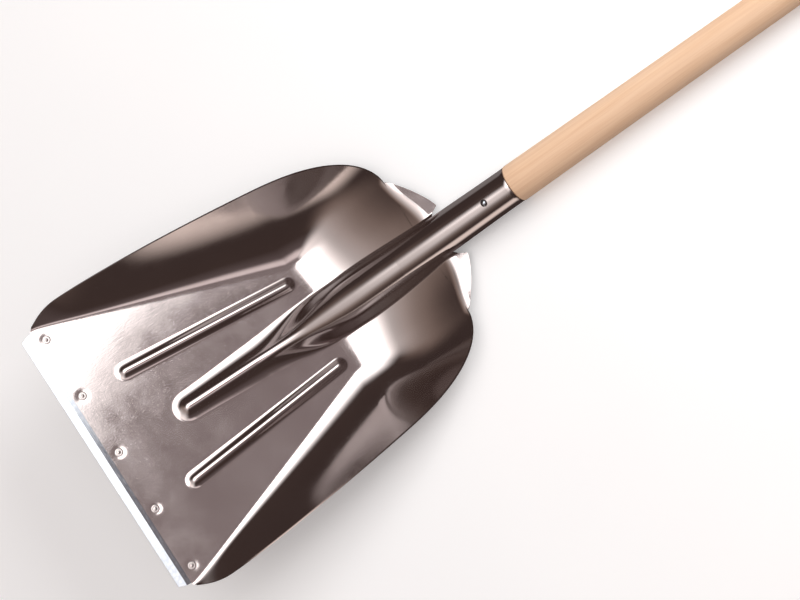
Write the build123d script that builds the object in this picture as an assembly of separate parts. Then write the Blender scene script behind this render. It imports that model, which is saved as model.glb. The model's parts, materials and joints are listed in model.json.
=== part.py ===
"""Feed scoop: a pressed metal pan with a steel wear strip, a tube socket and a straight wooden shaft.

The scoop is drawn flat first: X runs across the pan, Y runs from the front edge towards the shaft,
Z runs up from the pan's floor. At the end every piece is tipped back together, until the pan's heel
and the end of the shaft stand on the ground, which is how a loaded hand puts such a scoop down.
Millimetres.
"""
from build123d import *
from math import cos, degrees, hypot, pi, radians, sin, sqrt, tan
import os

# Pan: plan outline
PAN_LENGTH = 400.0           # front edge to the rear bend, on the centre line
PAN_WIDTH = 336.0            # at the widest place
FRONT_WIDTH = 311.0          # across the straight front edge
WIDEST_AT = 40.0             # distance of the widest place behind the front edge
REAR_WIDTH = 248.0           # where the side lines would reach the rear bend, without their corners
SIDE_BOW = 1.35              # exponent of the side line: 1 is straight
CORNER_FULLNESS = 2.8        # exponent of the rear corners: 2 is an ellipse, more is squarer

# Pan: height of the rim and shape of the walls
RIM_HEIGHT = 75.0            # rear rim above the floor
RIM_BOW = 1.6                # how soon the rim climbs from the front corners
FLOOR_FRONT_WIDTH = 316.0    # flat floor between the side creases, at the front edge
FLOOR_REAR_WIDTH = 124.0     # flat floor between the side creases, at the heel
REAR_WALL_RUN = 138.0        # from the heel, where the floor starts to climb, to the rear bend
CREASE_FRONT_SOFTNESS = 0.10  # rounding of the crease, as a part of the wall's width
CREASE_REAR_SOFTNESS = 0.80

# Pan: rear bend and its two outward treads
SHEET = 2.0                  # thickness of the metal
TREAD_HALF_SPAN = 77.0       # outer end of each tread, from the centre line
TREAD_DEPTH = 18.0           # how far a tread stands out behind the bend, beside the socket
TREAD_TIP_GAP = 10.5         # between the socket and a tread's tip
TREAD_FULLNESS = 1.2         # exponent of the tread's edge: 1 is straight, 2 is an ellipse
TREAD_RISE = 0.10            # slope of a tread, up and away from the bend
NOTCH_BEHIND_BEND = 2.0      # the sheet is cut away round the socket from here to the tips
NOTCH_ROOM = 1.5             # between the socket and the notch's front corners
TIP_WIDTH = 1.5
BEND_DROP = 13.0             # how much further forward the bend is at the treads' outer ends
BEND_SOFTNESS = 6.0

# Pan: pressed ribs
RIB_FRONT_HEIGHT = 3.0
RIB_REAR_HEIGHT = 5.0
RIB_CREST = 6.0              # radius of the round crest
RIB_FLANK = 0.80             # share of that radius where the straight flank begins, at the rear end
RIB_FRONT_FILLET = 4.0
RIB_REAR_FILLET = 2.5
RIB_FRONT_X = 67.0           # each rib's centre line at its front end
RIB_REAR_X = 50.0            # and at its rear end
RIB_FRONT_Y = 61.0
RIB_BEFORE_HEEL = 12.0       # rear end of each centre line, in front of the heel
RIDGE_FRONT = 80.0           # front end of the middle ridge
RIDGE_FRONT_HEIGHT = 6.0
RIDGE_HEIGHT = 9.0           # reached where the ridge begins to climb away from the floor
RIDGE_GROWTH = 130.0         # length over which it gains that height
RIDGE_CREST = 8.0
RIDGE_RISE_SOFTNESS = 16.0   # hollow along the crest, where the ridge climbs away from the floor
BEAD_FLANK = 0.65            # share of the crest's radius where a low bead's straight flank begins
ARCH_FLANK = 0.97            # and the same on the arch over the socket, whose flanks are steep
ARCH_FILLET = 6.0            # hollow between the arch and the pan

# Socket: a straight tube seated in the hollow of the middle ridge
LIFT = 27.0                  # degrees between the pan's floor and the shaft
SOCKET_DIAMETER = 39.0
SOCKET_WALL = 2.0
AXIS_ABOVE_RIM = 5.65        # height of the socket's axis over the rear rim, at the rear bend
SOCKET_BEHIND_BEND = 89.0    # from the bend to the centre of the mouth, along the floor
SOCKET_UNDER_RIDGE = 60.0    # from the bend to the tube's front end, along the floor
SEAT_GAP = 0.15              # between the tube and the sheet over it

# Shaft
SHAFT_PROUD = 0.5            # how far the shoulder stands out over the socket's outside
SHAFT_END_DIAMETER = 33.0
TAPER_LENGTH = 560.0         # from the shoulder to where the shaft runs parallel
SHAFT_LENGTH = 980.0         # from the shoulder to the free end
TENON_LENGTH = 112.0
TENON_GAP = 0.1
SHOULDER_ROUND = 1.5
END_ROUND = 10.0

# Screw through the socket's top wall into the tenon
SCREW_FROM_MOUTH = 31.0
SCREW_HEAD = 7.5
SCREW_HEAD_HEIGHT = 1.8
SCREW_SHANK = 4.0
SCREW_LENGTH = 24.0
SCREW_GAP = 0.05

# Wear strip: a flat steel bar under the front edge, with a bevelled nose
STRIP_THICKNESS = 3.0
STRIP_OVERHANG = 14.0        # in front of the sheet's edge
STRIP_LAP = 21.0             # under the sheet
STRIP_NOSE = 0.9             # thickness left at the nose
STRIP_BEVEL = 8.5            # width of the bevel
STRIP_CORNER = 5.0           # how much each end is cut back towards the nose

# Rivets that hold the strip
RIVET_COUNT = 5
RIVET_FROM_END = 16.3        # outermost rivets, from the strip's ends
RIVET_FROM_EDGE = 10.0
RIVET_HEAD = 9.0
RIVET_HEAD_HEIGHT = 1.6
RIVET_SHANK = 4.0
RIVET_TAIL = 7.6             # countersunk in the strip's underside
RIVET_TAIL_DEPTH = 1.8

# Cross sections of the pan
SIDE_SECTIONS = 34
CORNER_SECTIONS = 14
TREAD_SECTIONS = 8
RIDGE_ZONE = 36.0            # half-width of the middle strip whose points lie closer together
RIDGE_ZONE_SHARE = 0.6       # that strip's largest share of a narrow section
RIDGE_POINTS = 24            # points in half of the middle strip
WALL_POINTS = 34             # points in each strip beside it

# Steps in which the underside is searched for the heel
HEEL_SAMPLE = 4

HEEL_AT = PAN_LENGTH - REAR_WALL_RUN
RIB_FRONT = (RIB_FRONT_X, RIB_FRONT_Y)
RIB_REAR = (RIB_REAR_X, HEEL_AT - RIB_BEFORE_HEEL)
UNDERSIDE = -SHEET
SOCKET_RADIUS = SOCKET_DIAMETER / 2
ARCH_RADIUS = SOCKET_RADIUS + SEAT_GAP + SHEET
MOUTH_Y = PAN_LENGTH + SOCKET_BEHIND_BEND
MOUTH_Z = RIM_HEIGHT + AXIS_ABOVE_RIM + SOCKET_BEHIND_BEND * tan(radians(LIFT))
SHOULDER_RADIUS = SOCKET_RADIUS + SHAFT_PROUD
STRIP_BOTTOM = UNDERSIDE - STRIP_THICKNESS


def clamp(value, low=0.0, high=1.0):
    return max(low, min(high, value))


def smooth_step(value):
    t = clamp(value)
    return t * t * (3 - 2 * t)


def smooth_max(a, b, width):
    """The higher of two heights, with a round hollow where they cross."""
    reach = max(0.0, width - abs(a - b))
    return max(a, b) + reach * reach / (4 * width)


def smooth_min(a, b, width):
    return -smooth_max(-a, -b, width)


# Plan of the pan -----------------------------------------------------------------------------

def side_half_width(y):
    """Half the pan's width at y, before the rear corners are rounded."""
    widest = PAN_WIDTH / 2
    if y < WIDEST_AT:
        ahead = 1 - y / WIDEST_AT
        return widest - (widest - FRONT_WIDTH / 2) * abs(ahead) ** 2.2
    behind = (y - WIDEST_AT) / (PAN_LENGTH - WIDEST_AT)
    return widest - (widest - REAR_WIDTH / 2) * behind ** SIDE_BOW


def floor_half_width(y):
    """Half the width of the flat floor between the side creases."""
    t = clamp(y / HEEL_AT)
    return (FLOOR_FRONT_WIDTH + (FLOOR_REAR_WIDTH - FLOOR_FRONT_WIDTH) * t) / 2


def bend_y(x):
    """Rear bend: it runs a little forward from the socket to the outer end of each tread."""
    t = (abs(x) - SOCKET_RADIUS) / (TREAD_HALF_SPAN - SOCKET_RADIUS)
    return PAN_LENGTH - BEND_DROP * smooth_step(t)


def wall_share(x, y):
    """0 on the flat floor and 1 on the rim, over the side walls, the rear wall and their corners."""
    inner = floor_half_width(y)
    wall = max(side_half_width(y) - inner, 1.0)
    across = max(0.0, (abs(x) - inner) / wall)
    along = max(0.0, (y - HEEL_AT) / (bend_y(x) - HEEL_AT))
    return (across ** CORNER_FULLNESS + along ** CORNER_FULLNESS) ** (1 / CORNER_FULLNESS)


def corner_point(angle):
    """Point of the rim on a rear corner: 0 is at the heel's side line, a quarter turn is on the bend."""
    across = cos(angle) ** (2 / CORNER_FULLNESS)
    along = sin(angle) ** (2 / CORNER_FULLNESS)
    x = TREAD_HALF_SPAN
    for _ in range(30):
        y = HEEL_AT + along * (bend_y(x) - HEEL_AT)
        x = floor_half_width(y) + across * (side_half_width(y) - floor_half_width(y))
    return x, y


# Height of the pan's upper face ----------------------------------------------------------------

def rim_height(y):
    return RIM_HEIGHT * (1 - clamp(1 - y / PAN_LENGTH) ** RIM_BOW)


def wall_profile(share, y):
    """Section of the wall, from 0 at the crease to 1 at the rim, and straight on beyond it."""
    t = smooth_step(y / HEEL_AT)
    soft = CREASE_FRONT_SOFTNESS + (CREASE_REAR_SOFTNESS - CREASE_FRONT_SOFTNESS) * t
    return (hypot(share, soft) - soft) / (hypot(1, soft) - soft)


def tread_height(x, y):
    """Level of the rear bend and its treads, which lets the corners beside them run on upwards."""
    behind = max(0.0, y - bend_y(x))
    return RIM_HEIGHT + TREAD_RISE * behind + 0.6 * max(0.0, abs(x) - TREAD_HALF_SPAN)


def round_crest(distance, radius, flank):
    """Fall of a round crest below its top: a circle that goes over into a straight flank."""
    limit = flank * radius
    if distance <= limit:
        return radius - sqrt(radius ** 2 - distance ** 2)
    edge = sqrt(radius ** 2 - limit ** 2)
    return radius - edge + (distance - limit) * limit / edge


def crest_radius(height, width):
    """Radius of the circle whose cap has this height and width."""
    return (height ** 2 + (width / 2) ** 2) / (2 * height)


def axis_height(y):
    """Height of the socket's axis."""
    return MOUTH_Z - (MOUTH_Y - y) * tan(radians(LIFT))


def with_ridge(floor, x, y):
    """Middle ridge: a low bead with hollow skirts that grows into an arch over the socket."""
    arch_top = axis_height(y) + ARCH_RADIUS / cos(radians(LIFT))
    gained = smooth_step((y - RIDGE_FRONT) / RIDGE_GROWTH)
    bead = RIDGE_FRONT_HEIGHT + (RIDGE_HEIGHT - RIDGE_FRONT_HEIGHT) * gained
    crest = smooth_max(bead, arch_top, RIDGE_RISE_SOFTNESS)
    grown = smooth_step((crest - RIDGE_HEIGHT) / (2 * ARCH_RADIUS))
    radius = RIDGE_CREST + (ARCH_RADIUS - RIDGE_CREST) * grown
    flank = BEAD_FLANK + (ARCH_FLANK - BEAD_FLANK) * sqrt(grown)
    fillet = bead + (ARCH_FILLET - bead) * grown
    ahead = max(0.0, RIDGE_FRONT + 2 * RIDGE_CREST - y)
    return smooth_max(floor, crest - round_crest(hypot(x, ahead), radius, flank), fillet)


def with_rib(floor, x, y):
    """The side ribs, one on each side of the ridge, which run out lower towards the front."""
    dx = RIB_REAR[0] - RIB_FRONT[0]
    dy = RIB_REAR[1] - RIB_FRONT[1]
    t = clamp(((abs(x) - RIB_FRONT[0]) * dx + (y - RIB_FRONT[1]) * dy) / (dx * dx + dy * dy))
    away = hypot(abs(x) - RIB_FRONT[0] - t * dx, y - RIB_FRONT[1] - t * dy)
    height = RIB_FRONT_HEIGHT + (RIB_REAR_HEIGHT - RIB_FRONT_HEIGHT) * t
    flank = BEAD_FLANK + (RIB_FLANK - BEAD_FLANK) * t
    fillet = RIB_FRONT_FILLET + (RIB_REAR_FILLET - RIB_FRONT_FILLET) * t
    return smooth_max(floor, height - round_crest(away, RIB_CREST, flank), fillet)


def pan_height(x, y):
    walls = rim_height(y) * wall_profile(wall_share(x, y), y)
    walls = smooth_min(walls, tread_height(x, y), BEND_SOFTNESS)
    return with_ridge(with_rib(walls, x, y), x, y)


def surface_normal(x, y):
    step = 0.5
    slope_x = (pan_height(x + step, y) - pan_height(x - step, y)) / (2 * step)
    slope_y = (pan_height(x, y + step) - pan_height(x, y - step)) / (2 * step)
    return Vector(-slope_x, -slope_y, 1).normalized()


# Pan ---------------------------------------------------------------------------------------------

def tread_point(angle):
    """Edge of a tread: 0 is its outer end on the bend, a quarter turn is its tip beside the socket."""
    tip = SOCKET_RADIUS + TREAD_TIP_GAP
    y = PAN_LENGTH - BEND_DROP + (BEND_DROP + TREAD_DEPTH) * sin(angle) ** (2 / TREAD_FULLNESS)
    x = tip + (TREAD_HALF_SPAN - tip) * cos(angle) ** (2 / TREAD_FULLNESS)
    return x, y


def stations():
    """Half-width and Y of every cross section, from the front edge to the tips of the treads."""
    places = []
    for i in range(SIDE_SECTIONS):
        y = HEEL_AT * i / SIDE_SECTIONS
        places.append((side_half_width(y), y))
    for i in range(CORNER_SECTIONS):
        places.append(corner_point(pi / 2 * i / CORNER_SECTIONS))
    for i in range(TREAD_SECTIONS + 1):
        places.append(tread_point(pi / 2 * i / TREAD_SECTIONS))
    return places


def section_places(half_width):
    """X of a section's points, which lie closer together on the ridge than beside it."""
    zone = min(RIDGE_ZONE, RIDGE_ZONE_SHARE * half_width)
    right = [zone * i / RIDGE_POINTS for i in range(1, RIDGE_POINTS)]
    right += [zone + (half_width - zone) * i / WALL_POINTS for i in range(WALL_POINTS + 1)]
    return [-x for x in reversed(right)] + [0.0] + right


def pan_section(half_width, y):
    """One cross section of the sheet, which is SHEET thick square to the surface everywhere."""
    upper, lower = [], []
    for x in section_places(half_width):
        point = Vector(x, y, pan_height(x, y))
        normal = surface_normal(x, y)
        in_plane = Vector(normal.X, 0, normal.Z)
        upper.append(point)
        lower.append(point - in_plane * (SHEET / in_plane.length ** 2))
    top = Spline(*upper)
    bottom = Spline(*reversed(lower))
    right = Line(upper[-1], lower[-1])
    left = Line(lower[0], upper[0])
    return Wire([top, right, bottom, left])


def socket_notch():
    """Clearance round the socket behind the bend, which leaves the treads' two tips."""
    front = SOCKET_RADIUS + NOTCH_ROOM
    tip = SOCKET_RADIUS + TREAD_TIP_GAP - TIP_WIDTH
    start = PAN_LENGTH + NOTCH_BEHIND_BEND
    end = PAN_LENGTH + TREAD_DEPTH
    beyond = end + TREAD_DEPTH
    plan = Polyline(
        (-front, start), (front, start), (tip, end), (tip, beyond), (-tip, beyond), (-tip, end),
        close=True,
    )
    return extrude(make_face(plan), MOUTH_Z)


def make_pan():
    pan = Solid.make_loft([pan_section(half_width, y) for half_width, y in stations()], ruled=True)
    pan -= socket_notch()
    for x in rivet_places():
        pan -= Pos(x, RIVET_FROM_EDGE, 0) * Cylinder(RIVET_SHANK / 2, 6 * SHEET)
    return pan


# Socket, shaft and screw ---------------------------------------------------------------------------

def shaft_frame():
    """Plane at the socket's mouth, with Z out along the shaft and X on the socket's top line."""
    lift = radians(LIFT)
    along = Vector(0, cos(lift), sin(lift))
    upward = Vector(0, -sin(lift), cos(lift))
    return Plane(origin=(0, MOUTH_Y, MOUTH_Z), x_dir=upward, z_dir=along)


def screw_location():
    """Z along the screw, with its origin on the socket's outside."""
    place = shaft_frame() * Pos(SOCKET_RADIUS, 0, -SCREW_FROM_MOUTH)
    return place * Rot(0, 90, 0)


def make_socket():
    run = SOCKET_UNDER_RIDGE + SOCKET_BEHIND_BEND
    length = run / cos(radians(LIFT)) + SOCKET_DIAMETER
    tube = Pos(0, 0, -length / 2) * Cylinder(SOCKET_RADIUS, length)
    tube -= Pos(0, 0, -length / 2) * Cylinder(SOCKET_RADIUS - SOCKET_WALL, length + 2)
    tube = shaft_frame() * tube
    reach = 2 * length
    front = PAN_LENGTH - SOCKET_UNDER_RIDGE
    behind = Pos(0, front + reach / 2, UNDERSIDE + reach / 2) * Box(reach, reach, reach)
    tube = tube & behind
    hole = screw_location() * Cylinder(SCREW_SHANK / 2 + SCREW_GAP, 4 * SOCKET_WALL)
    return tube - hole


def make_shaft():
    tenon = SOCKET_RADIUS - SOCKET_WALL - TENON_GAP
    shoulder = SHOULDER_RADIUS
    end = SHAFT_END_DIAMETER / 2
    start_slope = (end - shoulder) / TAPER_LENGTH
    with BuildPart() as shaft:
        with BuildSketch(Plane.XZ):
            with BuildLine():
                Polyline(
                    (0, SHAFT_LENGTH), (0, -TENON_LENGTH), (tenon - SHOULDER_ROUND, -TENON_LENGTH),
                    (tenon, SHOULDER_ROUND - TENON_LENGTH), (tenon, 0), (shoulder - SHOULDER_ROUND, 0),
                )
                RadiusArc((shoulder - SHOULDER_ROUND, 0), (shoulder, SHOULDER_ROUND), -SHOULDER_ROUND)
                Spline(
                    (shoulder, SHOULDER_ROUND), (end, TAPER_LENGTH),
                    tangents=[(1.6 * start_slope, 1), (0, 1)],
                )
                Line((end, TAPER_LENGTH), (end, SHAFT_LENGTH - END_ROUND))
                RadiusArc((end, SHAFT_LENGTH - END_ROUND), (end - END_ROUND, SHAFT_LENGTH), -END_ROUND)
                Line((end - END_ROUND, SHAFT_LENGTH), (0, SHAFT_LENGTH))
            make_face()
        revolve(axis=Axis.Z)
    depth = SCREW_LENGTH + SCREW_GAP
    bore = screw_location() * Pos(0, 0, -depth / 2) * Cylinder(SCREW_SHANK / 2 + SCREW_GAP, depth)
    return shaft_frame() * shaft.part - bore


def domed_head(diameter, height):
    """Low round head that stands on Z = 0."""
    radius = crest_radius(height, diameter)
    ball = Pos(0, 0, height - radius) * Sphere(radius)
    return ball & Pos(0, 0, height) * Cylinder(diameter, 2 * height)


def make_screw():
    shank = Pos(0, 0, -SCREW_LENGTH / 2) * Cylinder(SCREW_SHANK / 2, SCREW_LENGTH)
    return screw_location() * (domed_head(SCREW_HEAD, SCREW_HEAD_HEIGHT) + shank)


# Wear strip and its rivets -----------------------------------------------------------------------------

def rivet_places():
    first = RIVET_FROM_END - FRONT_WIDTH / 2
    pitch = -2 * first / (RIVET_COUNT - 1)
    return [first + pitch * i for i in range(RIVET_COUNT)]


def make_wear_strip():
    section = Polyline(
        (STRIP_LAP, UNDERSIDE), (STRIP_BEVEL - STRIP_OVERHANG, UNDERSIDE),
        (-STRIP_OVERHANG, STRIP_BOTTOM + STRIP_NOSE), (-STRIP_OVERHANG, STRIP_BOTTOM),
        (STRIP_LAP, STRIP_BOTTOM), close=True,
    )
    bar = extrude(Plane.YZ * make_face(section), FRONT_WIDTH / 2, both=True)
    half = FRONT_WIDTH / 2
    plan = Polyline(
        (-half, STRIP_LAP), (-half, 0), (STRIP_CORNER - half, -STRIP_OVERHANG),
        (half - STRIP_CORNER, -STRIP_OVERHANG), (half, 0), (half, STRIP_LAP), close=True,
    )
    bar = bar & extrude(Pos(0, 0, STRIP_BOTTOM) * make_face(plan), STRIP_THICKNESS)
    for x in rivet_places():
        bar -= Pos(x, RIVET_FROM_EDGE, UNDERSIDE) * Cylinder(RIVET_SHANK / 2, 4 * STRIP_THICKNESS)
        bar -= rivet_tail(x)
    return bar


def rivet_tail(x):
    """Countersunk tail, flush with the strip's underside."""
    middle = STRIP_BOTTOM + RIVET_TAIL_DEPTH / 2
    return Pos(x, RIVET_FROM_EDGE, middle) * Cone(RIVET_TAIL / 2, RIVET_SHANK / 2, RIVET_TAIL_DEPTH)


def make_rivet(x):
    shank = Cylinder(RIVET_SHANK / 2, -STRIP_BOTTOM, align=(Align.CENTER, Align.CENTER, Align.MAX))
    head = domed_head(RIVET_HEAD, RIVET_HEAD_HEIGHT)
    return Pos(x, RIVET_FROM_EDGE, 0) * (head + shank) + rivet_tail(x)


# Resting attitude -----------------------------------------------------------------------------------

def underside_points():
    """Side view of the pan's underside, as points (y, z)."""
    points = []
    for x in range(0, round(PAN_WIDTH / 2), HEEL_SAMPLE):
        for y in range(0, round(PAN_LENGTH), HEEL_SAMPLE):
            foot = Vector(x, y, pan_height(x, y)) - surface_normal(x, y) * SHEET
            if wall_share(x, y) < 1:
                points.append((foot.Y, foot.Z))
    return points


def tipped_height(y, z, tilt):
    """Height of a point after the scoop is tipped back about the front edge."""
    return z * cos(tilt) - y * sin(tilt)


def shaft_end_height(tilt):
    """Lowest height of the shaft's free end after tipping."""
    lift = radians(LIFT)
    reach = SHAFT_LENGTH - END_ROUND
    y = MOUTH_Y + reach * cos(lift)
    z = MOUTH_Z + reach * sin(lift)
    return tipped_height(y, z, tilt) - SHAFT_END_DIAMETER / 2


def resting_tilt():
    """Angle at which the heel and the shaft's end are level, found by halving."""
    heel = underside_points()
    low, high = 0.0, 2 * radians(LIFT)
    for _ in range(30):
        middle = (low + high) / 2
        if shaft_end_height(middle) > min(tipped_height(y, z, middle) for y, z in heel):
            low = middle
        else:
            high = middle
    return (low + high) / 2


def placed(parts):
    """Tip the pieces back, and put the origin on the ground under the middle of their box."""
    tilt = degrees(resting_tilt())
    tipped = {name: Rot(-tilt, 0, 0) * shape for name, shape in parts.items()}
    boxes = [shape.bounding_box() for shape in tipped.values()]
    ground = min(box.min.Z for box in boxes)
    middle = (min(box.min.Y for box in boxes) + max(box.max.Y for box in boxes)) / 2
    print(f"tipped back {tilt:.4f} degrees, moved by Y {-middle:.4f} and Z {-ground:.4f} mm")
    return {name: Pos(0, -middle, -ground) * shape for name, shape in tipped.items()}


def main():
    parts = {
        "pan": make_pan(),
        "socket": make_socket(),
        "shaft": make_shaft(),
        "shaft_screw": make_screw(),
        "wear_strip": make_wear_strip(),
    }
    for number, x in enumerate(rivet_places(), start=1):
        parts[f"edge_rivet_{number}"] = make_rivet(x)
    os.makedirs("parts", exist_ok=True)
    for name, shape in placed(parts).items():
        export_step(shape, f"parts/{name}.step")


main()
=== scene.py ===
import json
from math import cos, exp, hypot, pi, radians, sin, sqrt, tan

import bmesh
import bpy
from mathutils import Matrix, Vector, noise


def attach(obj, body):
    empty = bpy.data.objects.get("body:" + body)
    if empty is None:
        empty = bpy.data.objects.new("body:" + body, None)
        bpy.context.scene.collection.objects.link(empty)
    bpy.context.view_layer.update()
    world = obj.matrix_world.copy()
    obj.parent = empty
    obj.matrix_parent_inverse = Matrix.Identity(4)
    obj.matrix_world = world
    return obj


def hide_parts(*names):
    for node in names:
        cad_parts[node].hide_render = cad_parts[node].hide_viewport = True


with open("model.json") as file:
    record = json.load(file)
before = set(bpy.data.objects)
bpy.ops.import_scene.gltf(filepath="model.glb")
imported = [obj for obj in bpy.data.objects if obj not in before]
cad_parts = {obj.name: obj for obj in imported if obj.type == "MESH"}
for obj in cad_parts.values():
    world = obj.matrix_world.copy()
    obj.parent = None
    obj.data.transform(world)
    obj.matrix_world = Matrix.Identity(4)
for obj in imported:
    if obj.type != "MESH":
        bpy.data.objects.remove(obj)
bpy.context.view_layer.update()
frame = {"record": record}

# The scoop is described as in the CAD source: millimetres, X across the pan, Y from its front edge
# towards the shaft, Z up from the pan's floor. One of the record's mounts says where that lies.

# Outline, floor and walls of the pan
PAN_LENGTH = 400.0
PAN_WIDTH = 336.0
FRONT_WIDTH = 311.0
WIDEST_AT = 40.0
REAR_WIDTH = 248.0
FRONT_BOW = 2.2  # power of the outline's curve in front of the widest place
SIDE_BOW = 1.35  # and behind it
CORNER_FULLNESS = 2.8
CORNER_ROUNDS = 30  # substitutions that settle a point of the rear corner
RIM_HEIGHT = 75.0
RIM_BOW = 1.6
FLOOR_FRONT_WIDTH = 316.0
FLOOR_REAR_WIDTH = 124.0
REAR_WALL_RUN = 138.0
HEEL_AT = PAN_LENGTH - REAR_WALL_RUN
CREASE_FRONT_SOFTNESS = 0.10
CREASE_REAR_SOFTNESS = 0.80
SHEET = 2.0

# Treads behind the rear wall, and the notch round the socket
TREAD_HALF_SPAN = 77.0
TREAD_DEPTH = 18.0
TREAD_TIP_GAP = 10.5
TREAD_FULLNESS = 1.2
TREAD_RISE = 0.10
TREAD_OUTER_RISE = 0.6  # slope beyond their span, which keeps their plane clear of the corners
NOTCH_BEHIND_BEND = 2.0
NOTCH_ROOM = 0.6
TIP_WIDTH = 1.5
BEND_DROP = 13.0
BEND_SOFTNESS = 5.0

# Side ribs and middle ridge
RIB_FRONT_HEIGHT = 3.0
RIB_REAR_HEIGHT = 5.0
RIB_CREST = 6.0
RIB_FLANK = 0.80
RIB_FRONT_FILLET = 4.0
RIB_REAR_FILLET = 2.5
RIB_FRONT = (67.0, 61.0)
RIB_REAR = (50.0, HEEL_AT - 12.0)
RIDGE_FRONT = 80.0
RIDGE_FRONT_HEIGHT = 6.0
RIDGE_HEIGHT = 9.0
RIDGE_GROWTH = 130.0
RIDGE_CREST = 8.0
RIDGE_NOSE = 2 * RIDGE_CREST  # length of the ridge's rounded front end
RIDGE_RISE_SOFTNESS = 16.0
BEAD_FLANK = 0.65
ARCH_FLANK = 0.97
ARCH_FILLET = 6.0

# Socket, shaft and nail
LIFT = radians(27.0)
SOCKET_RADIUS = 19.5
SOCKET_WALL = 2.0
SOCKET_GAP = 0.15
SOCKET_BEHIND_PAN = 89.0
SOCKET_OVER_PAN = 60.0
SOCKET_ABOVE_RIM = 5.65
LIP_RADIUS = 0.9
ARCH_RADIUS = SOCKET_RADIUS + SOCKET_GAP + SHEET
MOUTH_Y = PAN_LENGTH + SOCKET_BEHIND_PAN
MOUTH_Z = RIM_HEIGHT + SOCKET_ABOVE_RIM + SOCKET_BEHIND_PAN * tan(LIFT)
TENON_LENGTH = 112.0
TENON_GAP = 0.1
TENON_CHAMFER = 1.5
SHOULDER_RADIUS = SOCKET_RADIUS + 0.5
SHOULDER_ROUNDING = 1.4
SHAFT_END_RADIUS = 16.5
SHAFT_END_ROUNDING = 10.0
TAPER_LENGTH = 560.0
SHAFT_LENGTH = 980.0
NAIL_FROM_MOUTH = 31.0
NAIL_HEAD_RADIUS = 3.75
NAIL_HEAD_HEIGHT = 1.8
NAIL_SHANK_RADIUS = 2.0

# Wear strip and rivets
STRIP_THICKNESS = 3.0
STRIP_OVERHANG = 14.0
STRIP_LAP = 21.0
STRIP_NOSE = 0.9
STRIP_BEVEL = 8.5
STRIP_CORNER = 5.0
STRIP_BOTTOM = -SHEET - STRIP_THICKNESS
STRIP_MOUNT_FROM_EDGE = 15.5
RIVET_COUNT = 5
RIVET_FROM_END = 16.3
RIVET_FROM_EDGE = 10.0
RIVET_SHANK_RADIUS = 2.0
RIVET_TAIL_RADIUS = 3.8

# How finely the pan's mesh is divided, and how far from a ridge or rib its columns lie close together
ROWS_SIDE = 150
ROWS_CORNER = 44
ROWS_TREAD = 12
RIDGE_ZONE = 36.0
RIB_ZONE = 11.0
INNER_COLUMNS = 24
FLANK_COLUMNS = 20
GAP_COLUMNS = 12
RIB_COLUMNS = 26
WALL_COLUMNS = 52
COLUMNS = 2 * (INNER_COLUMNS + FLANK_COLUMNS + GAP_COLUMNS + RIB_COLUMNS + WALL_COLUMNS) + 1

# Detail that only the visual model has
DENT_DEPTH = 0.35
DENTS_ON_FLOOR = 0.06  # least part of that depth, which grows towards the rim
CLOSE_DENTS = 0.35  # depth of the closely spaced dents beside the wide ones
DIMPLE_DEPTH = 0.18
DIMPLE_RADIUS = 6.0
DIMPLE_REACH = 4 * RIVET_FROM_EDGE
STRIP_NICK = 0.22
ARCH_DRAWN_IN = 1.4
ARCH_DRAWN_FROM = 300.0
SOCKET_SWELL = 1.4
SWELL_LENGTH = 115.0

# Studio
FLOOR_HALF_SIDE = 9.0  # metres
FLOOR_GLOW = 0.26
CAMERA_PLACE = (152.1, 181.5, 2078.0)
CAMERA_RIGHT = (0.54951, 0.83499, 0.0308)
CAMERA_UP = (-0.83341, 0.54508, 0.09183)
FOCAL_LENGTH = 89.8
SENSOR_WIDTH = 36.0

# Lit parts of the room, by direction as seen from the pan: bearing (0 is +X, 90 is +Y, the shaft's
# side) and half-width round it, then inner and outer limits of the tilt away from the pan's upward
# normal, all in degrees. Each limit is a pair, between which the light fades in or out. Last come
# strength and colour.
ROOM_LIGHTS = [
    ("window", 219, (34, 61), (7.0, 8.5), (22, 54), 2.3, (1.0, 0.97, 0.96)),
    ("front_band", 278, (14, 48), (10, 20), (24, 80), 1.0, (1.0, 0.92, 0.89)),
    ("right_band", 332, (12, 24), (10, 17), (22, 34), 0.60, (1.0, 0.86, 0.84)),
    ("front_wall", 276, (26, 60), (50, 66), (74, 88), 0.14, (1.0, 0.74, 0.62)),
    ("low_right", 335, (12, 34), (80, 93), (104, 122), 0.75, (1.0, 0.84, 0.76)),
    ("low_left", 190, (25, 50), (98, 112), (170, 180), 0.15, (1.0, 0.95, 0.95)),
]
REFLECTED_TWICE = 0.15  # part of a room light that is left in a reflection of a reflection


# Place of the pan's frame in the row's frame ------------------------------------------------------

mounts = {mount["name"]: mount for mount in frame["record"]["mounts"]}
strip_mount = mounts["wear_strip_underside"]
floor_up = -Vector(strip_mount["axis"])
across = Vector((1, 0, 0))
along_floor = floor_up.cross(across)
mount_place = Vector((0, STRIP_MOUNT_FROM_EDGE, STRIP_BOTTOM)) / 1000
pan_axes = Matrix((across, along_floor, floor_up)).transposed()
pan_origin = Vector(strip_mount["pos_m"]) - pan_axes @ mount_place


def at(x, y, z):
    """A point of the pan's frame, in millimetres, as a point of the row's frame, in metres."""
    return pan_origin + pan_axes @ (Vector((x, y, z)) / 1000)


def shaft_at(radius, turn, along):
    """A point round the shaft's axis: turn 0 is its top line, along is measured out of the mouth."""
    side = radius * sin(turn)
    up = radius * cos(turn)
    y = MOUTH_Y + along * cos(LIFT) - up * sin(LIFT)
    z = MOUTH_Z + along * sin(LIFT) + up * cos(LIFT)
    return at(side, y, z)


# Shape of the pan, as in the CAD source -----------------------------------------------------------

def clamp(value):
    """The value, limited to the range from 0 to 1."""
    return max(0.0, min(1.0, value))


def smooth_step(value):
    """Smooth change from 0 to 1 while the value does the same."""
    t = clamp(value)
    return t * t * (3 - 2 * t)


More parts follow.
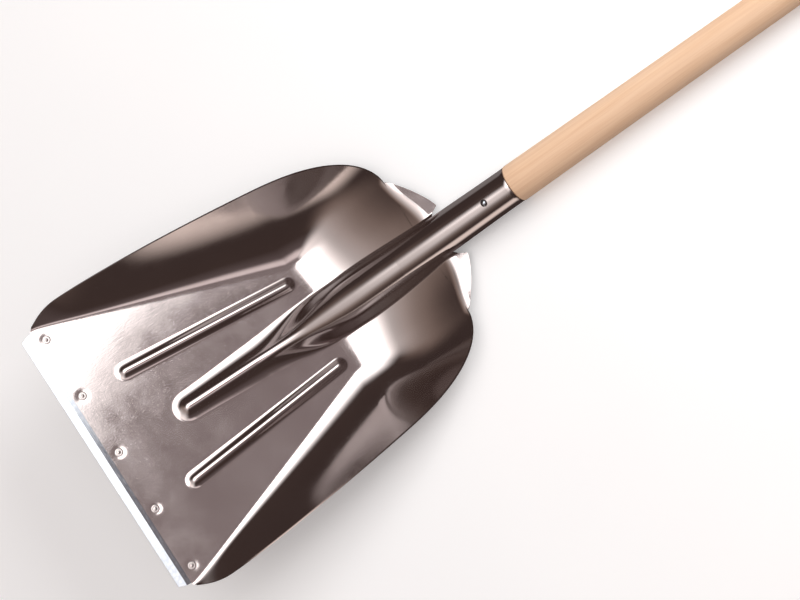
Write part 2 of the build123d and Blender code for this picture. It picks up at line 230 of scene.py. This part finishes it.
def smooth_max(a, b, width):
    """The larger of two heights, with a fillet where they differ by less than the width."""
    reach = max(0.0, width - abs(a - b))
    return max(a, b) + reach * reach / (4 * width)


def smooth_min(a, b, width):
    return -smooth_max(-a, -b, width)


def side_half_width(y):
    """Half the width across the rim."""
    widest = PAN_WIDTH / 2
    if y < WIDEST_AT:
        ahead = 1 - y / WIDEST_AT
        return widest - (widest - FRONT_WIDTH / 2) * abs(ahead) ** FRONT_BOW
    behind = (y - WIDEST_AT) / (PAN_LENGTH - WIDEST_AT)
    return widest - (widest - REAR_WIDTH / 2) * behind ** SIDE_BOW


def floor_half_width(y):
    """Half the width of the flat floor between the creases."""
    t = clamp(y / HEEL_AT)
    return (FLOOR_FRONT_WIDTH + (FLOOR_REAR_WIDTH - FLOOR_FRONT_WIDTH) * t) / 2


def bend_y(x):
    """Where the rear wall ends in a bend, which lies further forward away from the middle."""
    t = (abs(x) - SOCKET_RADIUS) / (TREAD_HALF_SPAN - SOCKET_RADIUS)
    return PAN_LENGTH - BEND_DROP * smooth_step(t)


def wall_share(x, y):
    """0 on the flat floor and 1 on the rim, over the side walls, the rear wall and their corners."""
    inner = floor_half_width(y)
    wall = max(side_half_width(y) - inner, 1.0)
    sideways = max(0.0, (abs(x) - inner) / wall)
    backwards = max(0.0, (y - HEEL_AT) / (bend_y(x) - HEEL_AT))
    return (sideways ** CORNER_FULLNESS + backwards ** CORNER_FULLNESS) ** (1 / CORNER_FULLNESS)


def corner_point(angle):
    """Point of the rim round the rear corner, by repeated substitution."""
    sideways = cos(angle) ** (2 / CORNER_FULLNESS)
    backwards = sin(angle) ** (2 / CORNER_FULLNESS)
    x = TREAD_HALF_SPAN
    for _ in range(CORNER_ROUNDS):
        y = HEEL_AT + backwards * (bend_y(x) - HEEL_AT)
        x = floor_half_width(y) + sideways * (side_half_width(y) - floor_half_width(y))
    return x, y


def tread_half_width(y):
    """Edge of the treads behind the bend."""
    tip = SOCKET_RADIUS + TREAD_TIP_GAP
    behind = clamp((y - PAN_LENGTH + BEND_DROP) / (BEND_DROP + TREAD_DEPTH))
    return tip + (TREAD_HALF_SPAN - tip) * (1 - behind ** TREAD_FULLNESS) ** (1 / TREAD_FULLNESS)


def notch_half_width(y):
    """Inner limit of the sheet: level beside the socket, then out to the tips of the treads."""
    front = SOCKET_RADIUS + NOTCH_ROOM
    tip = SOCKET_RADIUS + TREAD_TIP_GAP - TIP_WIDTH
    behind = clamp((y - PAN_LENGTH - NOTCH_BEHIND_BEND) / (TREAD_DEPTH - NOTCH_BEHIND_BEND))
    return front + (tip - front) * behind


def rim_height(y):
    """Height of the rim over the floor, which rises from nothing at the front edge."""
    return RIM_HEIGHT * (1 - clamp(1 - y / PAN_LENGTH) ** RIM_BOW)


def wall_profile(share, y):
    """Section of the wall, from 0 at the crease to 1 at the rim, and straight on beyond it."""
    t = smooth_step(y / HEEL_AT)
    soft = CREASE_FRONT_SOFTNESS + (CREASE_REAR_SOFTNESS - CREASE_FRONT_SOFTNESS) * t
    return (hypot(share, soft) - soft) / (hypot(1, soft) - soft)


def tread_height(x, y):
    """Plane of the treads, rising slightly to the rear."""
    behind = max(0.0, y - bend_y(x))
    outside = max(0.0, abs(x) - TREAD_HALF_SPAN)
    return RIM_HEIGHT + TREAD_RISE * behind + TREAD_OUTER_RISE * outside


def round_crest(distance, radius, flank):
    """How far a rounded crest has dropped at a distance from its middle: an arc, then its tangent."""
    limit = flank * radius
    if distance <= limit:
        return radius - sqrt(radius ** 2 - distance ** 2)
    edge = sqrt(radius ** 2 - limit ** 2)
    return radius - edge + (distance - limit) * limit / edge


def arch_radius(y):
    """The arch draws in to the socket's own outside where the sheet ends on it."""
    drawn = (y - ARCH_DRAWN_FROM) / (PAN_LENGTH - ARCH_DRAWN_FROM)
    return ARCH_RADIUS - ARCH_DRAWN_IN * smooth_step(drawn)


def with_ridge(floor, x, y):
    """Adds the middle ridge, which grows from a low bead into the arch that holds the socket."""
    radius_here = arch_radius(y)
    arch_top = MOUTH_Z - (MOUTH_Y - y) * tan(LIFT) + radius_here / cos(LIFT)
    gained = smooth_step((y - RIDGE_FRONT) / RIDGE_GROWTH)
    bead = RIDGE_FRONT_HEIGHT + (RIDGE_HEIGHT - RIDGE_FRONT_HEIGHT) * gained
    crest = smooth_max(bead, arch_top, RIDGE_RISE_SOFTNESS)
    grown = smooth_step((crest - RIDGE_HEIGHT) / (2 * ARCH_RADIUS))
    radius = RIDGE_CREST + (radius_here - RIDGE_CREST) * grown
    flank = BEAD_FLANK + (ARCH_FLANK - BEAD_FLANK) * sqrt(grown)
    fillet = bead + (ARCH_FILLET - bead) * grown
    stretch = 1 + (1 / cos(LIFT) - 1) * grown
    ahead = max(0.0, RIDGE_FRONT + RIDGE_NOSE - y)
    drop = stretch * round_crest(hypot(x, ahead), radius, flank)
    return smooth_max(floor, crest - drop, fillet)


def with_rib(floor, x, y):
    """Adds the side ribs, which mirror each other."""
    dx = RIB_REAR[0] - RIB_FRONT[0]
    dy = RIB_REAR[1] - RIB_FRONT[1]
    t = clamp(((abs(x) - RIB_FRONT[0]) * dx + (y - RIB_FRONT[1]) * dy) / (dx * dx + dy * dy))
    away = hypot(abs(x) - RIB_FRONT[0] - t * dx, y - RIB_FRONT[1] - t * dy)
    height = RIB_FRONT_HEIGHT + (RIB_REAR_HEIGHT - RIB_FRONT_HEIGHT) * t
    flank = BEAD_FLANK + (RIB_FLANK - BEAD_FLANK) * t
    fillet = RIB_FRONT_FILLET + (RIB_REAR_FILLET - RIB_FRONT_FILLET) * t
    return smooth_max(floor, height - round_crest(away, RIB_CREST, flank), fillet)


def pan_height(x, y):
    """Height of the sheet's upper side over the floor."""
    walls = rim_height(y) * wall_profile(wall_share(x, y), y)
    walls = smooth_min(walls, tread_height(x, y), BEND_SOFTNESS)
    return with_ridge(with_rib(walls, x, y), x, y)


# Fine detail of the visual pan --------------------------------------------------------------------

def rivet_places():
    """X of each rivet."""
    first = RIVET_FROM_END - FRONT_WIDTH / 2
    pitch = -2 * first / (RIVET_COUNT - 1)
    return [first + pitch * i for i in range(RIVET_COUNT)]


RIVETS = rivet_places()


def rivet_dimple(x, y):
    """Shallow dimple that setting a rivet leaves in the sheet round its head."""
    if y > DIMPLE_REACH:
        return 0.0
    away = min(hypot(x - place, y - RIVET_FROM_EDGE) for place in RIVETS)
    return -DIMPLE_DEPTH * exp(-(away / DIMPLE_RADIUS) ** 4)


def dents(x, y):
    """Faint waviness that pressing leaves in the sheet, stronger in the walls than on the floor."""
    share = clamp(wall_share(x, y))
    wide = noise.noise(Vector((x / 70, y / 85, 3.1)))
    close = noise.noise(Vector((x / 27, y / 31, 8.7)))
    return DENT_DEPTH * (DENTS_ON_FLOOR + share) * (wide + CLOSE_DENTS * close)


def sheet_height(x, y):
    """The same height with the fine detail."""
    return pan_height(x, y) + dents(x, y) + rivet_dimple(x, y)


def sheet_normal(x, y):
    """Upward normal of the sheet, from its slopes over a small step."""
    step = 0.4
    slope_x = (sheet_height(x + step, y) - sheet_height(x - step, y)) / (2 * step)
    slope_y = (sheet_height(x, y + step) - sheet_height(x, y - step)) / (2 * step)
    return Vector((-slope_x, -slope_y, 1)).normalized()


# Mesh helpers -------------------------------------------------------------------------------------

def new_piece(name, points, faces, sharp=None):
    """Mesh object with smooth shading, except over edges sharper than the given angle in degrees."""
    mesh = bpy.data.meshes.new(name)
    mesh.from_pydata(points, [], faces)
    mesh.validate()
    turned = bmesh.new()
    turned.from_mesh(mesh)
    bmesh.ops.recalc_face_normals(turned, faces=turned.faces)
    turned.to_mesh(mesh)
    turned.free()
    mesh.polygons.foreach_set("use_smooth", [True] * len(mesh.polygons))
    if sharp is not None:
        mesh.set_sharp_from_angle(angle=radians(sharp))
    piece = bpy.data.objects.new(name, mesh)
    bpy.context.scene.collection.objects.link(piece)
    return piece


def bevel(piece, width, segments=2, angle=40):
    """Rounds the edges that are sharper than an angle in degrees."""
    change = piece.modifiers.new("bevel", "BEVEL")
    change.width = width
    change.segments = segments
    change.limit_method = "ANGLE"
    change.angle_limit = radians(angle)
    change.harden_normals = True


def grid_faces(rows, columns, start=0, closed=False):
    """Quads between rows of points; closed joins each row's last point to its first."""
    faces = []
    width = columns if closed else columns - 1
    for i in range(rows - 1):
        for j in range(width):
            k = (j + 1) % columns
            faces.append((
                start + i * columns + j, start + i * columns + k,
                start + (i + 1) * columns + k, start + (i + 1) * columns + j,
            ))
    return faces


def lathe(name, profile, place, turns=96):
    """Turns a closed profile of (radius, along) points; place(radius, turn, along) sets each point."""
    points = []
    for i in range(turns):
        turn = 2 * pi * i / turns
        points.extend(place(radius, turn, along) for radius, along in profile)
    count = len(profile)
    faces = grid_faces(turns, count, closed=True)
    last = (turns - 1) * count
    for j in range(count):
        k = (j + 1) % count
        faces.append((last + j, last + k, k, j))
    piece = new_piece(name, points, faces)
    weld = bmesh.new()
    weld.from_mesh(piece.data)
    bmesh.ops.remove_doubles(weld, verts=weld.verts, dist=1e-6)
    weld.to_mesh(piece.data)
    weld.free()
    return piece


def stand_for(piece, node):
    """Puts a piece in a CAD node's place, on the scoop's one body."""
    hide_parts(node)
    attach(piece, "root")


# Pan ----------------------------------------------------------------------------------------------

def pan_rows():
    """Half-width and Y of each row of the pan's mesh, from the front edge to the treads' tips."""
    rows = []
    for i in range(ROWS_SIDE):
        y = HEEL_AT * i / ROWS_SIDE
        rows.append((side_half_width(y), y))
    rows += [corner_point(pi / 2 * i / ROWS_CORNER) for i in range(ROWS_CORNER)]
    bend = PAN_LENGTH - BEND_DROP
    notch = PAN_LENGTH + NOTCH_BEHIND_BEND
    tip = PAN_LENGTH + TREAD_DEPTH
    for i in range(ROWS_TREAD):
        y = bend + (notch - bend) * i / ROWS_TREAD
        rows.append((tread_half_width(y), y))
    for i in range(ROWS_TREAD + 1):
        y = notch + (tip - notch) * i / ROWS_TREAD
        rows.append((tread_half_width(y), y))
    return rows


def column_places(half_width, y):
    """X of a row's points on the right of the middle, close together along the ridge and the rib."""
    least_gap = 0.02
    inner = notch_half_width(y)
    zone = min(RIDGE_ZONE, (inner + half_width) / 2)
    beside = min(y, RIB_REAR[1])
    slope = (RIB_REAR[0] - RIB_FRONT[0]) / (RIB_REAR[1] - RIB_FRONT[1])
    rib = RIB_FRONT[0] + slope * (beside - RIB_FRONT[1])
    reach = side_half_width(beside) - RIDGE_ZONE
    near = zone + (half_width - zone) * max(least_gap, (rib - RIB_ZONE - RIDGE_ZONE) / reach)
    far = zone + (half_width - zone) * (rib + RIB_ZONE - RIDGE_ZONE) / reach
    limits = [0.0, inner, zone, near, far, half_width]
    counts = [INNER_COLUMNS, FLANK_COLUMNS, GAP_COLUMNS, RIB_COLUMNS, WALL_COLUMNS]
    places = []
    for start, end, count in zip(limits, limits[1:], counts):
        places += [start + (end - start) * i / count for i in range(1, count + 1)]
    return places


def edge_faces(faces, shift):
    """Quads from the open edges of a skin to its copy, whose points are numbered shift higher."""
    uses = {}
    for face in faces:
        for here, there in zip(face, face[1:] + face[:1]):
            key = (min(here, there), max(here, there))
            uses[key] = uses.get(key, 0) + 1
    return [(a, a + shift, b + shift, b) for (a, b), count in uses.items() if count == 1]


def make_pan():
    """The sheet's upper and lower skin, joined along every open edge, without the notch."""
    rows = pan_rows()
    upper = []
    lower = []
    for half_width, y in rows:
        right = column_places(half_width, y)
        for x in [-x for x in reversed(right)] + [0.0] + right:
            point = Vector((x, y, sheet_height(x, y)))
            normal = sheet_normal(x, y)
            upper.append(at(*point))
            lower.append(at(*(point - normal * SHEET)))
    notch_row = len(rows) - 1 - ROWS_TREAD
    notch_left = COLUMNS // 2 - INNER_COLUMNS
    notch_right = COLUMNS // 2 + INNER_COLUMNS
    faces = []
    for face in grid_faces(len(rows), COLUMNS):
        row, column = divmod(face[0], COLUMNS)
        if row < notch_row or not notch_left <= column < notch_right:
            faces.append(face)
    count = len(upper)
    under = [tuple(i + count for i in reversed(face)) for face in faces]
    piece = new_piece("pan_skin", upper + lower, faces + under + edge_faces(faces, count))
    loose = bmesh.new()
    loose.from_mesh(piece.data)
    bmesh.ops.delete(loose, geom=[v for v in loose.verts if not v.link_faces], context="VERTS")
    loose.to_mesh(piece.data)
    loose.free()
    bevel(piece, 0.0005, segments=3, angle=60)
    stand_for(piece, "pan")
    return piece


# Socket, shaft and nail ---------------------------------------------------------------------------

def socket_radius(along):
    """The tube swells slightly from its mouth to where the pan's arch runs out on it."""
    return SOCKET_RADIUS + SOCKET_SWELL * smooth_step(-along / SWELL_LENGTH)


def make_socket():
    """Open tube with a rounded lip at its mouth."""
    start = -(SOCKET_OVER_PAN + SOCKET_BEHIND_PAN) / cos(LIFT)
    steps = 40
    outside = [(socket_radius(start * i / steps), start * i / steps) for i in range(1, steps + 1)]
    lip = []
    for a in (pi / 2, pi / 4, 0):
        lip.append((SOCKET_RADIUS - LIP_RADIUS + LIP_RADIUS * cos(a), LIP_RADIUS * (sin(a) - 1)))
    bore = SOCKET_RADIUS - SOCKET_WALL
    profile = [(bore, 0.0)] + lip + outside + [(bore, start)]
    piece = lathe("socket_tube", profile, shaft_at, turns=128)
    bevel(piece, 0.0003)
    stand_for(piece, "socket")
    return piece


def shaft_radius(along):
    """The shaft tapers from its shoulder, and ever less, to its parallel upper length."""
    t = clamp(along / TAPER_LENGTH)
    drop = SHOULDER_RADIUS - SHAFT_END_RADIUS
    return SHOULDER_RADIUS - drop * (1.6 * t - 0.2 * t ** 2 - 0.4 * t ** 3)


def make_shaft():
    """Tenon inside the socket, rounded shoulder at its mouth, tapered length and rounded end."""
    tenon = SOCKET_RADIUS - SOCKET_WALL - TENON_GAP
    profile = [
        (0.0, -TENON_LENGTH), (tenon - TENON_CHAMFER, -TENON_LENGTH),
        (tenon, TENON_CHAMFER - TENON_LENGTH), (tenon, 0.0),
    ]
    shoulder = SHOULDER_ROUNDING
    steps = 5
    for i in range(steps + 1):
        a = pi / 2 * i / steps
        profile.append((SHOULDER_RADIUS - shoulder * (1 - sin(a)), shoulder * (1 - cos(a))))
    steps = 60
    end = SHAFT_END_ROUNDING
    for i in range(1, steps + 1):
        along = shoulder + (SHAFT_LENGTH - end - shoulder) * i / steps
        profile.append((shaft_radius(along), along))
    steps = 8
    for i in range(1, steps + 1):
        a = pi / 2 * i / steps
        profile.append((SHAFT_END_RADIUS - end * (1 - cos(a)), SHAFT_LENGTH - end * (1 - sin(a))))
    profile.append((0.0, SHAFT_LENGTH))
    piece = lathe("shaft_wood", profile, shaft_at, turns=96)
    stand_for(piece, "shaft")
    return piece


def make_nail():
    """Domed nail head on the socket's top line, with its shank in the tenon."""
    head = NAIL_HEAD_RADIUS
    height = NAIL_HEAD_HEIGHT
    shank = NAIL_SHANK_RADIUS
    ball = (height ** 2 + head ** 2) / (2 * height)
    profile = [(0.0, -24.0), (0.7, -22.5), (shank, -18.0), (shank, 0.0), (head, 0.0)]
    steps = 8
    for i in range(1, steps + 1):
        r = head * (1 - i / steps)
        profile.append((r, height - ball + sqrt(ball ** 2 - r ** 2)))

    def place(radius, turn, out):
        middle = shaft_at(SOCKET_RADIUS + out, 0, -NAIL_FROM_MOUTH)
        along = shaft_at(SOCKET_RADIUS, 0, 1) - shaft_at(SOCKET_RADIUS, 0, 0)
        return middle + along * radius * cos(turn) + across * radius * sin(turn) / 1000

    piece = lathe("shaft_nail_head", profile, place, turns=40)
    stand_for(piece, "shaft_screw")
    return piece


# Wear strip and rivets ----------------------------------------------------------------------------

def make_strip():
    """Flat bar with a bevelled front, corners cut back and a slightly nicked front edge."""
    half = FRONT_WIDTH / 2
    section = [
        (STRIP_LAP, -SHEET), (STRIP_BEVEL - STRIP_OVERHANG, -SHEET),
        (-STRIP_OVERHANG, STRIP_BOTTOM + STRIP_NOSE), (-STRIP_OVERHANG, STRIP_BOTTOM),
        (STRIP_LAP, STRIP_BOTTOM),
    ]
    points = []
    slices = 120
    for i in range(slices + 1):
        for y, z in section:
            end = half - STRIP_CORNER * clamp(-y / STRIP_OVERHANG)
            x = end * (2 * i / slices - 1)
            nick = 0.0
            if y <= -STRIP_OVERHANG:
                nick = STRIP_NICK * max(0.0, noise.noise(Vector((x / 9, z, 1.7))))
            points.append(at(x, y + nick, z))
    count = len(section)
    faces = grid_faces(slices + 1, count, closed=True)
    faces.append(tuple(range(count)))
    faces.append(tuple(slices * count + j for j in range(count)))
    piece = new_piece("wear_strip_bar", points, faces, sharp=8)
    bevel(piece, 0.0003, angle=8)
    stand_for(piece, "wear_strip")
    return piece


def make_rivet(number, x):
    """Low head with a raised middle and a rim, shank, and countersunk tail."""
    head = [
        (0.0, 0.95), (0.7, 0.92), (1.2, 0.80), (1.5, 0.62), (1.8, 0.55), (2.6, 0.58), (3.4, 0.60),
        (3.9, 0.58), (4.25, 0.46), (4.45, 0.25), (4.5, -0.3),
    ]
    shank = RIVET_SHANK_RADIUS
    outer = RIVET_TAIL_RADIUS
    tail = [(0.0, STRIP_BOTTOM), (outer, STRIP_BOTTOM), (shank, STRIP_BOTTOM + outer - shank), (shank, -0.3)]
    profile = tail + list(reversed(head))

    def place(radius, turn, out):
        return at(x + radius * cos(turn), RIVET_FROM_EDGE + radius * sin(turn), out)

    piece = lathe(f"rivet_head_{number}", profile, place, turns=48)
    stand_for(piece, f"edge_rivet_{number}")
    return piece


# Materials ----------------------------------------------------------------------------------------

def shader(name):
    """New material, with its nodes, its links and its main shader."""
    material = bpy.data.materials.new(name)
    material.use_nodes = True
    nodes = material.node_tree.nodes
    return material, nodes, material.node_tree.links, nodes["Principled BSDF"]


def object_coordinates(nodes, links, scale):
    """Places on the object, with a scale for each axis."""
    coordinates = nodes.new("ShaderNodeTexCoord")
    mapping = nodes.new("ShaderNodeMapping")
    mapping.inputs["Scale"].default_value = scale
    links.new(coordinates.outputs["Object"], mapping.inputs["Vector"])
    return mapping.outputs["Vector"]


def noise_value(nodes, links, vector, scale, detail=4.0, roughness=0.5, distortion=0.0):
    texture = nodes.new("ShaderNodeTexNoise")
    texture.inputs["Scale"].default_value = scale
    texture.inputs["Detail"].default_value = detail
    texture.inputs["Roughness"].default_value = roughness
    texture.inputs["Distortion"].default_value = distortion
    links.new(vector, texture.inputs["Vector"])
    return texture.outputs["Fac"]


def ramp(nodes, links, value, stops):
    """Colour that goes through stops of (position, colour)."""
    node = nodes.new("ShaderNodeValToRGB")
    elements = node.color_ramp.elements
    for element, (position, colour) in zip(elements, (stops[0], stops[-1])):
        element.position = position
        element.color = (*colour, 1)
    for position, colour in stops[1:-1]:
        element = elements.new(position)
        element.color = (*colour, 1)
    links.new(value, node.inputs["Fac"])
    return node.outputs["Color"]


def remap(nodes, links, value, low, high, start, end):
    """Straight change from low to high while the value goes from start to end."""
    node = nodes.new("ShaderNodeMapRange")
    node.inputs["From Min"].default_value = start
    node.inputs["From Max"].default_value = end
    node.inputs["To Min"].default_value = low
    node.inputs["To Max"].default_value = high
    links.new(value, node.inputs["Value"])
    return node.outputs["Result"]


def bump(nodes, links, height, strength, distance, under=None):
    node = nodes.new("ShaderNodeBump")
    node.inputs["Strength"].default_value = strength
    node.inputs["Distance"].default_value = distance
    links.new(height, node.inputs["Height"])
    if under is not None:
        links.new(under, node.inputs["Normal"])
    return node.outputs["Normal"]


def calculate(nodes, links, operation, *values):
    """Math node over one or more values."""
    node = nodes.new("ShaderNodeMath")
    node.operation = operation
    for socket, value in zip(node.inputs, values):
        links.new(value, socket)
    return node.outputs["Value"]


def fade(nodes, links, value, start, end):
    """Smooth change from 0 at start to 1 at end, in degrees, which may be given either way round."""
    node = nodes.new("ShaderNodeMapRange")
    node.interpolation_type = "SMOOTHSTEP"
    node.inputs["From Min"].default_value = radians(min(start, end))
    node.inputs["From Max"].default_value = radians(max(start, end))
    node.inputs["To Min"].default_value = 0.0 if start < end else 1.0
    node.inputs["To Max"].default_value = 1.0 if start < end else 0.0
    links.new(value, node.inputs["Value"])
    return node.outputs["Result"]


def bright_metal(name, light, dark, smooth=0.06, dull=0.13):
    """Bright rolled metal: faint staining, patches of wiping marks and fine scratches."""
    material, nodes, links, body = shader(name)
    body.inputs["Metallic"].default_value = 1.0
    plain = object_coordinates(nodes, links, (1, 1, 1))
    stain = noise_value(nodes, links, plain, 9, detail=6, roughness=0.6)
    colour = ramp(nodes, links, stain, [(0.30, dark), (0.62, light)])
    links.new(colour, body.inputs["Base Color"])
    cloud = noise_value(nodes, links, plain, 26, detail=5, roughness=0.6)
    links.new(remap(nodes, links, cloud, smooth, dull, 0.3, 0.75), body.inputs["Roughness"])
    wiped = object_coordinates(nodes, links, (260, 22, 60))
    wipes = noise_value(nodes, links, wiped, 4, detail=3, roughness=0.6)
    soft = bump(nodes, links, wipes, 0.012, 0.0004)
    peel = noise_value(nodes, links, plain, 420, detail=2)
    grained = bump(nodes, links, peel, 0.02, 0.0003, soft)
    slanted = object_coordinates(nodes, links, (900, 35, 300))
    scratch = noise_value(nodes, links, slanted, 3, detail=2, distortion=0.6)
    fine = remap(nodes, links, scratch, 0.0, 1.0, 0.66, 0.72)
    links.new(bump(nodes, links, fine, 0.03, 0.0002, grained), body.inputs["Normal"])
    return material


def zinc_steel(name):
    """Zinc-plated steel: bluish, with small crystals and worn, streaky patches."""
    material, nodes, links, body = shader(name)
    body.inputs["Metallic"].default_value = 1.0
    plain = object_coordinates(nodes, links, (1, 1, 1))
    crystals = nodes.new("ShaderNodeTexVoronoi")
    crystals.inputs["Scale"].default_value = 260
    links.new(plain, crystals.inputs["Vector"])
    cells = crystals.outputs["Distance"]
    grey = ramp(nodes, links, cells, [(0.0, (0.66, 0.71, 0.76)), (0.8, (0.54, 0.60, 0.67))])
    links.new(grey, body.inputs["Base Color"])
    streaks = noise_value(nodes, links, object_coordinates(nodes, links, (14, 160, 160)), 6, detail=5)
    links.new(remap(nodes, links, streaks, 0.06, 0.11, 0.3, 0.7), body.inputs["Roughness"])
    links.new(bump(nodes, links, streaks, 0.02, 0.0002), body.inputs["Normal"])
    return material


def pale_wood(name):
    """Pale close-grained wood, turned and sanded: long faint streaks, pores and a few darker lines."""
    material, nodes, links, body = shader(name)
    stretched = object_coordinates(nodes, links, (42, 1.6, 42))
    figure = noise_value(nodes, links, stretched, 2.2, detail=6, roughness=0.62, distortion=0.35)
    colour = ramp(nodes, links, figure, [
        (0.28, (0.84, 0.545, 0.35)), (0.46, (0.90, 0.61, 0.405)), (0.60, (0.93, 0.65, 0.445)),
        (0.78, (0.95, 0.69, 0.49)),
    ])
    fibres = noise_value(nodes, links, object_coordinates(nodes, links, (420, 6, 420)), 2.0, detail=3)
    mix = nodes.new("ShaderNodeMix")
    mix.data_type = "RGBA"
    mix.blend_type = "MULTIPLY"
    mix.inputs["Factor"].default_value = 0.25
    links.new(colour, mix.inputs["A"])
    links.new(ramp(nodes, links, fibres, [(0.35, (0.80, 0.68, 0.58)), (0.6, (1, 1, 1))]), mix.inputs["B"])
    links.new(mix.outputs["Result"], body.inputs["Base Color"])
    links.new(remap(nodes, links, figure, 0.62, 0.46, 0.3, 0.7), body.inputs["Roughness"])
    links.new(bump(nodes, links, fibres, 0.18, 0.0003), body.inputs["Normal"])
    body.inputs["Specular IOR Level"].default_value = 0.35
    return material


def pale_floor(name):
    """Smooth white studio floor that is lit evenly, with only faint unevenness."""
    material, nodes, links, body = shader(name)
    plain = object_coordinates(nodes, links, (1, 1, 1))
    shade = noise_value(nodes, links, plain, 3, detail=2)
    colour = ramp(nodes, links, shade, [(0.3, (0.88, 0.88, 0.885)), (0.7, (0.91, 0.91, 0.91))])
    links.new(colour, body.inputs["Base Color"])
    body.inputs["Roughness"].default_value = 0.9
    body.inputs["Specular IOR Level"].default_value = 0.1
    body.inputs["Emission Color"].default_value = (1, 1, 1, 1)
    body.inputs["Emission Strength"].default_value = FLOOR_GLOW
    return material


# Studio -------------------------------------------------------------------------------------------

def make_floor():
    """Pale floor at ground level, which the metal doesn't reflect."""
    size = FLOOR_HALF_SIDE
    corners = [(-size, -size, 0), (size, -size, 0), (size, size, 0), (-size, size, 0)]
    piece = new_piece("studio_floor", [Vector(corner) for corner in corners], [(0, 1, 2, 3)])
    piece.data.materials.append(pale_floor("studio_floor"))
    piece.visible_glossy = False


def softbox(name, place, target, width, height, radiance):
    """Area light at a point of the pan's frame, turned to a target there and unseen in the metal."""
    light = bpy.data.lights.new(name, "AREA")
    light.shape = "RECTANGLE"
    light.size = width
    light.size_y = height
    light.energy = radiance * pi * width * height
    lamp = bpy.data.objects.new(name, light)
    bpy.context.scene.collection.objects.link(lamp)
    start = at(*place)
    aim = at(*target)
    lamp.location = start
    lamp.rotation_mode = "QUATERNION"
    lamp.rotation_quaternion = (aim - start).to_track_quat("-Z", "Y")
    lamp.visible_glossy = False


def make_world():
    """Dim brown room with a few large, soft lit parts, much weaker in reflections of reflections."""
    world = bpy.data.worlds.new("room")
    bpy.context.scene.world = world
    world.use_nodes = True
    nodes = world.node_tree.nodes
    links = world.node_tree.links
    background = nodes["Background"]
    coordinates = nodes.new("ShaderNodeTexCoord")

    def part(direction):
        node = nodes.new("ShaderNodeVectorMath")
        node.operation = "DOT_PRODUCT"
        node.inputs[1].default_value = direction
        links.new(coordinates.outputs["Generated"], node.inputs[0])
        return node.outputs["Value"]

    tilt = calculate(nodes, links, "ARCCOSINE", part(floor_up))
    # The world's depth is 2 in a reflection of it, and 3 in a reflection of that
    depth = nodes.new("ShaderNodeLightPath").outputs["Ray Depth"]
    kept = remap(nodes, links, depth, 1.0, REFLECTED_TWICE, 2.0, 3.0)
    colour = ramp(nodes, links, part(floor_up), [
        (0.0, (0.045, 0.030, 0.027)), (0.60, (0.050, 0.033, 0.029)), (0.93, (0.13, 0.10, 0.098)),
        (0.992, (0.225, 0.18, 0.178)), (1.0, (0.235, 0.19, 0.188)),
    ])
    for name, bearing, width, inner, outer, strength, tint in ROOM_LIGHTS:
        toward = across * cos(radians(bearing)) + along_floor * sin(radians(bearing))
        sideways = floor_up.cross(toward)
        turned = calculate(nodes, links, "ARCTAN2", part(sideways), part(toward))
        turned_off = calculate(nodes, links, "ABSOLUTE", turned)
        aside = fade(nodes, links, turned_off, width[1], width[0])
        near = fade(nodes, links, tilt, inner[0], inner[1])
        far = fade(nodes, links, tilt, outer[1], outer[0])
        amount = aside
        for factor in (near, far, kept):
            amount = calculate(nodes, links, "MULTIPLY", amount, factor)
        mix = nodes.new("ShaderNodeMix")
        mix.label = name
        mix.data_type = "RGBA"
        mix.blend_type = "ADD"
        mix.clamp_result = False
        mix.clamp_factor = True
        links.new(amount, mix.inputs["Factor"])
        links.new(colour, mix.inputs["A"])
        mix.inputs["B"].default_value = (*(strength * part_colour for part_colour in tint), 1)
        colour = mix.outputs["Result"]
    links.new(colour, background.inputs["Color"])
    background.inputs["Strength"].default_value = 1.0


def make_lights():
    """A key light from the shaft's side and a weak one from above. Their sizes are in metres."""
    softbox("key", (-700, 1500, 1900), (0, 150, 0), 1.0, 1.0, 10.5)
    softbox("top", (100, 100, 2900), (0, 200, 0), 1.6, 1.6, 1.2)


def make_camera():
    """Camera above the pan, turned so that the shaft runs to the upper right."""
    data = bpy.data.cameras.new("camera")
    data.sensor_width = SENSOR_WIDTH
    data.lens = FOCAL_LENGTH
    camera = bpy.data.objects.new("camera", data)
    bpy.context.scene.collection.objects.link(camera)
    right = pan_axes @ Vector(CAMERA_RIGHT)
    up = pan_axes @ Vector(CAMERA_UP)
    back = right.cross(up)
    turn = Matrix((right, up, back)).transposed().to_4x4()
    camera.matrix_world = Matrix.Translation(at(*CAMERA_PLACE)) @ turn
    data.clip_start = 0.01
    data.clip_end = 50
    bpy.context.scene.camera = camera


# Assembly -----------------------------------------------------------------------------------------

polished = bright_metal("polished_sheet", (0.86, 0.81, 0.80), (0.78, 0.72, 0.71))
make_pan().data.materials.append(polished)
make_socket().data.materials.append(polished)
make_shaft().data.materials.append(pale_wood("pale_wood"))
make_nail().data.materials.append(zinc_steel("nail_zinc"))
make_strip().data.materials.append(zinc_steel("strip_zinc"))
rivet_metal = bright_metal("rivet_metal", (0.84, 0.80, 0.79), (0.74, 0.69, 0.68), 0.16, 0.32)
for number, x in enumerate(RIVETS, start=1):
    make_rivet(number, x).data.materials.append(rivet_metal)

make_floor()
make_world()
make_lights()
make_camera()
bpy.context.scene.view_settings.view_transform = "Standard"
